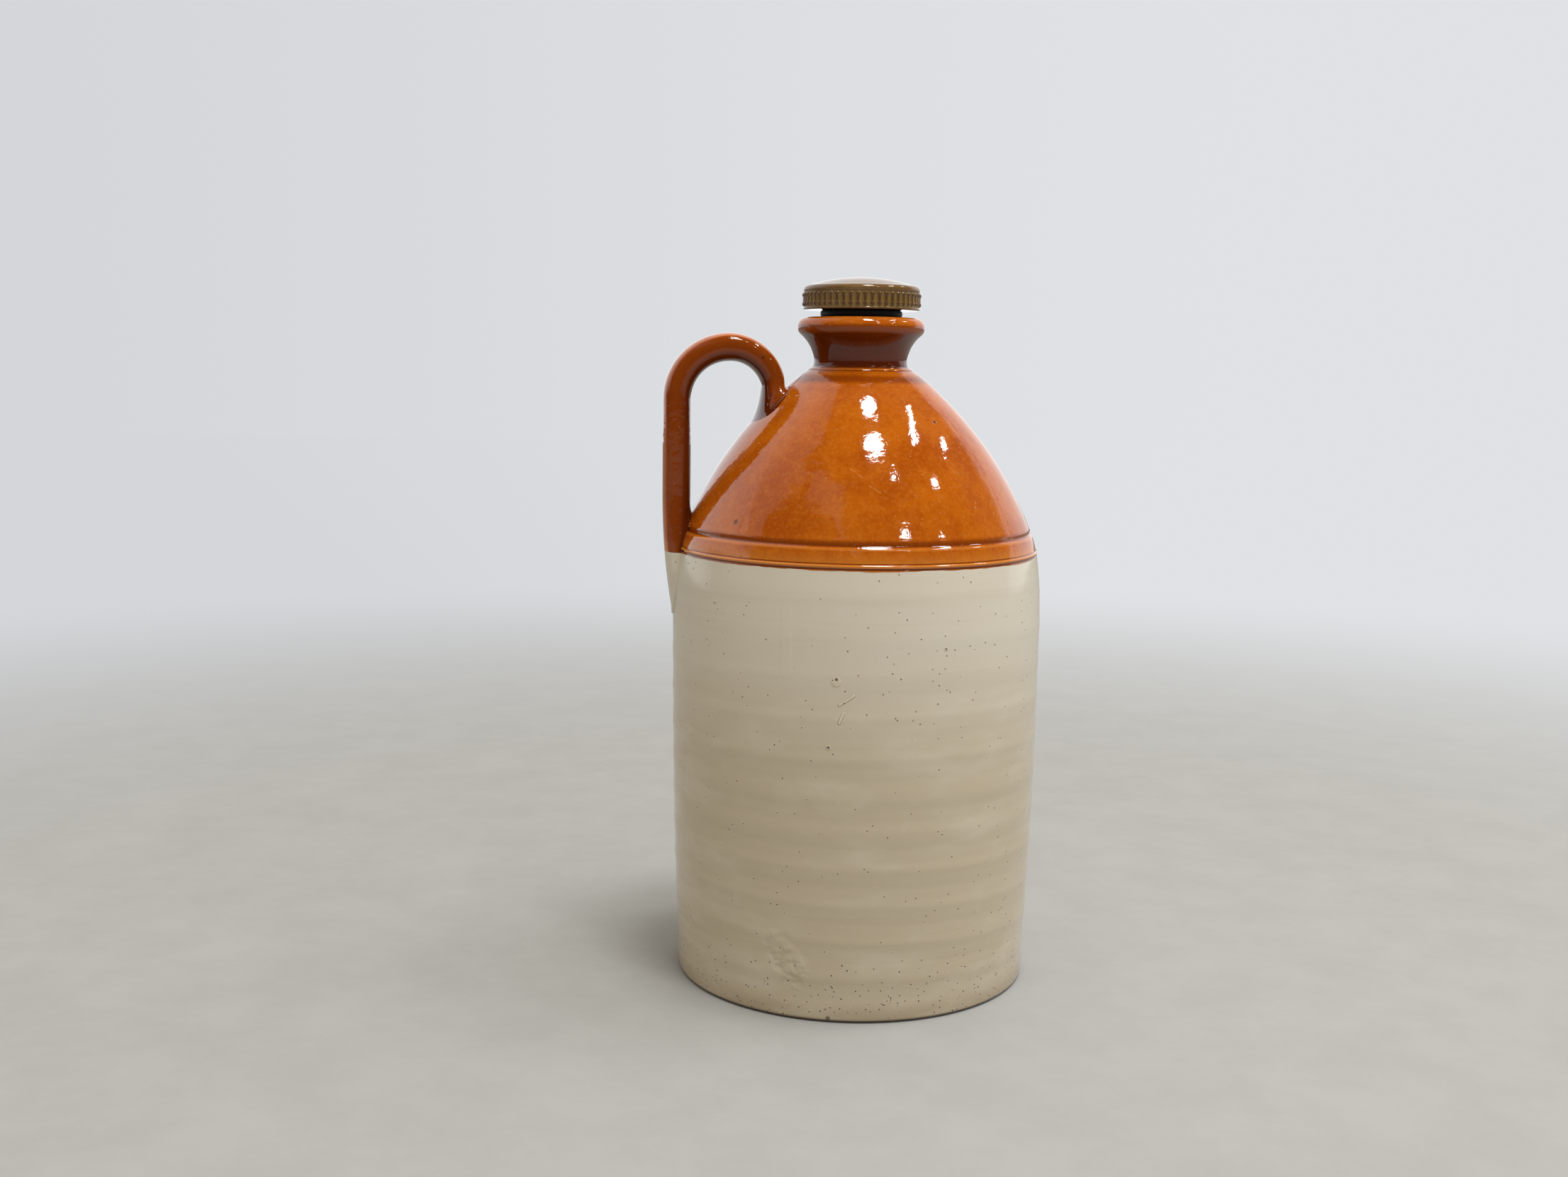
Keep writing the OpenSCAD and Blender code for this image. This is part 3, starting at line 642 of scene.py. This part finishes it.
# Painted shade: the strap is darker on its sides and inside the arch. It is lighter along its outer corners,
# where the glaze thins, and darker where it meets the shoulder
shade = (0.36 * soft_step(-facing_out, -0.82, -0.5) + 0.55 * soft_step(-facing_out, -0.4, 0.7)
         - 0.16 * hump(facing_out, 0.80, 0.2))
darker_at_root = 0.3 * soft_step(-clearance(strap), -1.5 * mm, 0)
handle = skin_object("strap_handle", strap, [strap[0].mean(axis=0), strap[-1].mean(axis=0)],
                     hollow=shade + darker_at_root)
handle.data.materials.append(stoneware)
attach(handle, "flagon")
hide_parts("flagon")


# The seal
# A black rubber ring that the stopper's head squeezes against the lip, so that it bulges all round.
SEAL_R, SEAL_BULGE, SEAL_T, SEAL_BORE = 18.7 * mm, 0.6 * mm, 3.5 * mm, 14.9 * mm
SEAL_SQUARE, SEAL_FILL = 0.35, 0.98
SEAL_COLUMNS, SEAL_ROWS = 128, 48


def seal_rings():
    """Outline turned about Z: the super-ellipse u = cos^SEAL_SQUARE a, v = sin^SEAL_SQUARE a has near flat
    sides and round corners, and the outside stands out by SEAL_BULGE u (1 - v^2) more."""
    a = 2 * np.pi * np.arange(SEAL_ROWS) / SEAL_ROWS
    u, v = signed_power(np.cos(a), SEAL_SQUARE), signed_power(np.sin(a), SEAL_SQUARE)
    middle, half = (SEAL_R + SEAL_BORE) / 2, (SEAL_R - SEAL_BORE) / 2
    r = middle + half * u + SEAL_BULGE * (u > 0) * u * (1 - v * v)
    z = LIP_Z + SEAL_T / 2 * (1 + SEAL_FILL * v)
    return turned(2 * np.pi * np.arange(SEAL_COLUMNS)[:, None] / SEAL_COLUMNS, r, z)


def torus_object(name, grid):
    """Closed skin over a grid of points that closes along its rows and its columns."""
    rows, columns = grid.shape[:2]
    here = np.arange(rows * columns).reshape(rows, columns)
    beside, under = np.roll(here, -1, axis=1), np.roll(here, -1, axis=0)
    across = np.roll(under, -1, axis=1)
    mesh = bpy.data.meshes.new(name)
    quads = np.stack([here, under, across, beside], axis=-1).reshape(-1, 4)
    mesh.from_pydata(grid.reshape(-1, 3).tolist(), [], quads.tolist())
    mesh.shade_smooth()
    made = bpy.data.objects.new(name, mesh)
    bpy.context.collection.objects.link(made)
    return made


seal = torus_object("rubber_seal", seal_rings())
RUBBER_BLACK, RUBBER_DUST = (0.012, 0.012, 0.013), (0.03, 0.028, 0.026)
rubber, place = new_material("black_rubber")
grain = noise(place, 0.5 * mm, 3, 0.6)
dust = noise(place, 4 * mm, 3, 0.6)
finish_material(
    rubber, place, grain, 0.05 * mm,
    base_color=mix(between(dust, 0.5, 0.8), RUBBER_BLACK, RUBBER_DUST),
    roughness=0.5 + grain * 0.25)
seal.data.materials.append(rubber)
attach(seal, "seal")
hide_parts("seal")


# The stopper
# One piece of stoneware, pressed in a mould: a milled head of beads and pillars with a domed top, and a
# shank with a coarse round thread. Its olive-brown glaze is darker on the rim's columns than between them.
SEAT_Z, HEAD_Z = 316.7 * mm, 326.1 * mm
HEAD_R, HEAD_ROUND, DOME_RISE, RIM_FILLET = 28.05 * mm, 2.6 * mm, 3.9 * mm, 1 * mm
COLUMNS, BEAD_R, BEAD_RISE, PILLAR_R = 52, 1.6 * mm, 1.15 * mm, 0.8 * mm
CORE_R, SHANK_Z, SHANK_BEVEL, COLLAR_R = 13.5 * mm, 288.7 * mm, 1.5 * mm, 14.6 * mm
THREAD_TURNS, THREAD_FADE, SHANK_THREAD_HALF = 2.8, 0.2, 1.85 * mm
EDGE_SET, EDGE_DROP, SLACK = 0.5 * mm, 0.3 * mm, 0.1 * mm
STEPS_A_COLUMN = 14


def dome_line(rim, foot_z, rise, n):
    """Arc of a sphere over a disc of radius rim, from its edge towards the pole, in n points."""
    ball = (rim * rim + rise * rise) / (2 * rise)
    a = math.asin(rim / ball) * np.linspace(1, 0.04, n)
    return np.column_stack([ball * np.sin(a), foot_z + rise - ball * (1 - np.cos(a))])


RIM_WALL_R = HEAD_R - 1.2 * mm
fillet_r = HEAD_R - EDGE_SET
round_c = fillet_r - HEAD_ROUND
dome_z = HEAD_Z + 0.75 * HEAD_ROUND
rim_low, rim_high = SEAT_Z + RIM_FILLET, HEAD_Z - RIM_FILLET
shoulder_size, shoulder_c = [HEAD_ROUND, dome_z - HEAD_Z + EDGE_DROP], [round_c, HEAD_Z - EDGE_DROP]
shoulder_arc = arc([0, 0], 1, 0, 90, 10) * shoulder_size + shoulder_c
stopper_line = np.vstack([
    line([2 * mm, SHANK_Z], [CORE_R - SHANK_BEVEL, SHANK_Z], 3),
    line([CORE_R - SHANK_BEVEL, SHANK_Z], [CORE_R, SHANK_Z + SHANK_BEVEL], 3),
    line([CORE_R, SHANK_Z + SHANK_BEVEL], [CORE_R, LIP_Z - 2 * mm], 46),
    line([CORE_R, LIP_Z - 2 * mm], [COLLAR_R, LIP_Z - 1 * mm], 2),
    line([COLLAR_R, LIP_Z - 1 * mm], [COLLAR_R, SEAT_Z], 3),
    line([COLLAR_R, SEAT_Z], [fillet_r - 0.6 * mm, SEAT_Z], 6),
    line([fillet_r - 0.6 * mm, SEAT_Z], [fillet_r, SEAT_Z + 0.4 * mm], 3),
    line([fillet_r, SEAT_Z + 0.4 * mm], [fillet_r - 0.2 * mm, rim_low], 3),
    line([RIM_WALL_R, rim_low], [RIM_WALL_R, rim_high], 38),
    line([fillet_r - 0.2 * mm, rim_high], [fillet_r, HEAD_Z - EDGE_DROP], 3),
    shoulder_arc,
    dome_line(round_c, dome_z, DOME_RISE, 14)[1:]])


def column_height(angle, z):
    """How far the rim's columns stand out from its wall, with s the way round the rim from a column's middle
    and d the distance from a bead's middle: BEAD_RISE cos^2(pi/2 (d / BEAD_R)^1.5) for the beads at both
    ends, and cbrt(R^3 - s^3) for the pillar of radius R between them."""
    pitch = 2 * np.pi / COLUMNS
    s = HEAD_R * ((angle / pitch) % 1 - 0.5) * pitch
    from_bead = np.abs(z - (rim_low + rim_high) / 2) - (rim_high - rim_low) / 2 + BEAD_R
    bead = BEAD_RISE * hump((np.hypot(s, from_bead) / BEAD_R) ** 1.5, 0, 1)
    pillar = (from_bead < 0) * np.cbrt(np.maximum(0, PILLAR_R ** 3 - np.abs(s) ** 3))
    return np.maximum(bead, pillar)


angle, r, z = turning(stopper_line, COLUMNS * STEPS_A_COLUMN)
on_rim = (z >= rim_low) & (z <= rim_high) & (r < RIM_WALL_R + SLACK)
relief = column_height(angle, z) * on_rim
turn = (z - THREAD_Z) / THREAD_PITCH
away = ridge_phase(angle, z, THREAD_PITCH)
winding = turn - away / THREAD_PITCH
fade = np.clip(winding / THREAD_FADE, 0, 1) * np.clip((THREAD_TURNS - winding) / THREAD_FADE, 0, 1)
on_shank = (z < LIP_Z - 2 * mm) * (r < CORE_R + SLACK)
crest = THREAD_DEPTH * hump(away, 0, SHANK_THREAD_HALF) * fade * on_shank
radius = r + relief + crest
rings = turned(angle, radius, z)
depth_in = np.where(on_rim, 0.5 - relief / BEAD_RISE, 0)
stopper = skin_object("screw_stopper", rings,
                      [[0, 0, SHANK_Z], [0, 0, stopper_line[-1, 1]]], hollow=depth_in)

OLIVE, OLIVE_PALE, OLIVE_DARK = (0.17, 0.090, 0.025), (0.26, 0.150, 0.055), (0.07, 0.028, 0.006)
OLIVE_BETWEEN, OLIVE_SPECK = (0.21, 0.14, 0.045), (0.06, 0.03, 0.01)
BARE_CLAY, BARE_CLAY_DARK = (0.45, 0.37, 0.26), (0.36, 0.28, 0.18)
stopper_glaze, place = new_material("olive_glaze")
hollow = place.node("Attribute", {"attribute_name": "hollow"}, {}, "Fac")
height = height_of(place)
cloud = noise(place, 9 * mm, 3, 0.6)
speck = noise(place, 0.9 * mm, 3, 0.7)
olive = mix(between(cloud, 0.35, 0.7), OLIVE, OLIVE_PALE)
olive = mix(between(0 - hollow, -0.2, 0.2) * 0.85, olive, OLIVE_DARK)
olive = mix(between(hollow, 0.1, 0.45) * 0.7, olive, OLIVE_BETWEEN)
olive = mix(between(speck, 0.6, 0.75) * 0.4, olive, OLIVE_SPECK)
shank_bare = between(height, LIP_Z - 1 * mm, LIP_Z - 3 * mm)
olive = mix(shank_bare, olive, mix(between(speck, 0.4, 0.7), BARE_CLAY, BARE_CLAY_DARK))
finish_material(
    stopper_glaze, place, noise(place, 3 * mm, 2, 0.5), 0.04 * mm,
    base_color=olive, roughness=0.03 + shank_bare * 0.5)
stopper.data.materials.append(stopper_glaze)
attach(stopper, "stopper")
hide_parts("stopper")


# The floor
# A plain pale matt floor with faint clouds. Far from the flagon it glows in the colours of the background,
# so that no horizon shows.
FLOOR_R, FADE_NEAR, FADE_FAR = 6.0, 0.35, 1.5
FLOOR_GREY, FLOOR_PALE = (0.352, 0.348, 0.327), (0.376, 0.371, 0.350)
PALE_LEFT, PALE_RIGHT, PALE_TURN = (0.655, 0.672, 0.695), (0.74, 0.758, 0.778), (-0.45, 0.35)
floor_mesh = bpy.data.meshes.new("floor")
floor_mesh.from_pydata([(-FLOOR_R, -FLOOR_R, 0), (FLOOR_R, -FLOOR_R, 0), (FLOOR_R, FLOOR_R, 0),
                        (-FLOOR_R, FLOOR_R, 0)], [], [(0, 1, 2, 3)])
floor = bpy.data.objects.new("floor", floor_mesh)
bpy.context.collection.objects.link(floor)
floor_finish, place = new_material("pale_floor")
grey = mix(between(noise(place, 25 * mm, 5, 0.7), 0.3, 0.7), FLOOR_GREY, FLOOR_PALE)
matt = place.node("BsdfDiffuse", {}, {"Color": grey})
far = place.node("VectorMath", {"operation": "LENGTH"}, {0: place}, "Value")
seen = place.node("LightPath", {}, {}, "Is Camera Ray")
heading = place.node("VectorMath", {"operation": "NORMALIZE"}, {0: place}, "Vector")
across = heading.node("SeparateXYZ", {}, {"Vector": heading}, "X")
backdrop = mix(between(across, *PALE_TURN), PALE_LEFT, PALE_RIGHT)
glow = place.node("Emission", {}, {"Color": backdrop, "Strength": 1.0})
mixed = place.node("MixShader", {}, {0: between(far, FADE_NEAR, FADE_FAR) * seen, 1: matt, 2: glow})
place.node("OutputMaterial", {}, {"Surface": mixed})
floor.data.materials.append(floor_finish)


# The light
# Small soft lamps in rows overhead, as in a plain workshop, and an even fill from all sides. The glazes
# mirror the lamps, the pale surroundings behind the flagon and a darker room in front of it.
LAMP_RISE, LAMP_FROM = 2.2, 250 * mm
LAMP_GLARE = 23.0
LAMPS = [
    # x and y of the lamp over its rise, then its length along x and y over its rise. These were worked out
    # from the highlights in the photograph outside this script, and then changed by hand.
    (0.10, -0.06, 0.19, 0.15),
    (0.13, -0.34, 0.26, 0.21),
    (0.61, 0.02, 0.07, 0.40),
    (1.04, 0.26, 0.08, 0.24),
    (0.36, -0.53, 0.07, 0.10),
    (0.60, -1.10, 0.10, 0.16),
    (0.93, -0.32, 0.10, 0.12),
    (1.30, -0.85, 0.10, 0.08),
]
for number, (x, y, long_x, long_y) in enumerate(LAMPS):
    lamp = bpy.data.lights.new(f"lamp_{number}", "AREA")
    lamp.shape = "ELLIPSE"
    lamp.size, lamp.size_y = long_x * LAMP_RISE, long_y * LAMP_RISE
    lamp.energy = math.pi * LAMP_GLARE * lamp.size * lamp.size_y
    holder = bpy.data.objects.new(f"lamp_{number}", lamp)
    holder.location = (x * LAMP_RISE, y * LAMP_RISE, LAMP_FROM + LAMP_RISE)
    bpy.context.collection.objects.link(holder)

FILL_LEFT = (0.63, 0.57, 0.475)
FILL_RIGHT = (1.08, 1.09, 1.12)
DARK_ROOM = (0.04, 0.04, 0.045)
PALE_ROOM = (1.15, 1.16, 1.19)
world = bpy.data.worlds.new("studio")
world.use_nodes = True
world.node_tree.nodes.clear()
bpy.context.scene.world = world
way = Socket(world.node_tree).node("TexCoord", {}, {}, "Generated")
x = way.node("SeparateXYZ", {}, {"Vector": way}, "X")
y = way.node("SeparateXYZ", {}, {"Vector": way}, "Y")
z = way.node("SeparateXYZ", {}, {"Vector": way}, "Z")
# What the glazes mirror, by direction: x to the right, y away from the camera and z up. The pale wall behind
# the flagon has a bright and a dark band along its edge and stops at the left. Beside it on the left are a
# second pale wall and a row of broken pale patches, and a faint haze lies all round the back.
edge = y * 1.45 - x * 0.42 - z
behind = (between(edge, -0.25, 0.05) + between((edge - 0.03).math("ABSOLUTE"), 0.03, 0.01) * 0.3
          - between((edge - 0.09).math("ABSOLUTE"), 0.03, 0.01) * 0.6)
to_the_left = between(x, 0.0, -0.2) * between(z, 0.25, 0.05)
behind = behind * (1 - to_the_left * between(y, 0.52, 0.44))
beside_edge = between(y * 0.55 - x - z * 0.347, -0.02, 0.02) * between(y, -0.16, -0.12)
beside_top = largest(between(z, 0.3, 0.45), between(y, 0.25, 0.5))
beside = beside_edge * beside_top * (0.48 + between(y, 0.0, 0.4) * 0.45)
patch_row = between((x * 0.747 + y * 0.664 + 0.585).math("ABSOLUTE"), 0.09, 0.06)
patch_end = between(z, 0.4, 0.5) * between(x, -0.06, -0.12)
patches = patch_row * between(noise(way, 0.12, 1), 0.38, 0.48) * patch_end * 0.4
haze = between(y, -0.1, 0.1) * 0.08
pale_share = largest(behind, beside, patches, haze)
seen = way.node("LightPath", {}, {}, "Is Camera Ray")
glossy = way.node("LightPath", {}, {}, "Is Glossy Ray")
through = way.node("LightPath", {}, {}, "Is Transmission Ray")
mirrored = mix(pale_share, DARK_ROOM, PALE_ROOM)
fill = mix(between(x, -1.0, 1.0), FILL_LEFT, FILL_RIGHT)
sky = mix(glossy, fill, mirrored)
sky = mix(seen.math("MAXIMUM", through), sky, mix(between(x, *PALE_TURN), PALE_LEFT, PALE_RIGHT))
shine = way.node("Background", {}, {"Color": sky, "Strength": 1.0})
way.node("OutputWorld", {}, {"Surface": shine})

bpy.context.scene.view_settings.view_transform = "Standard"
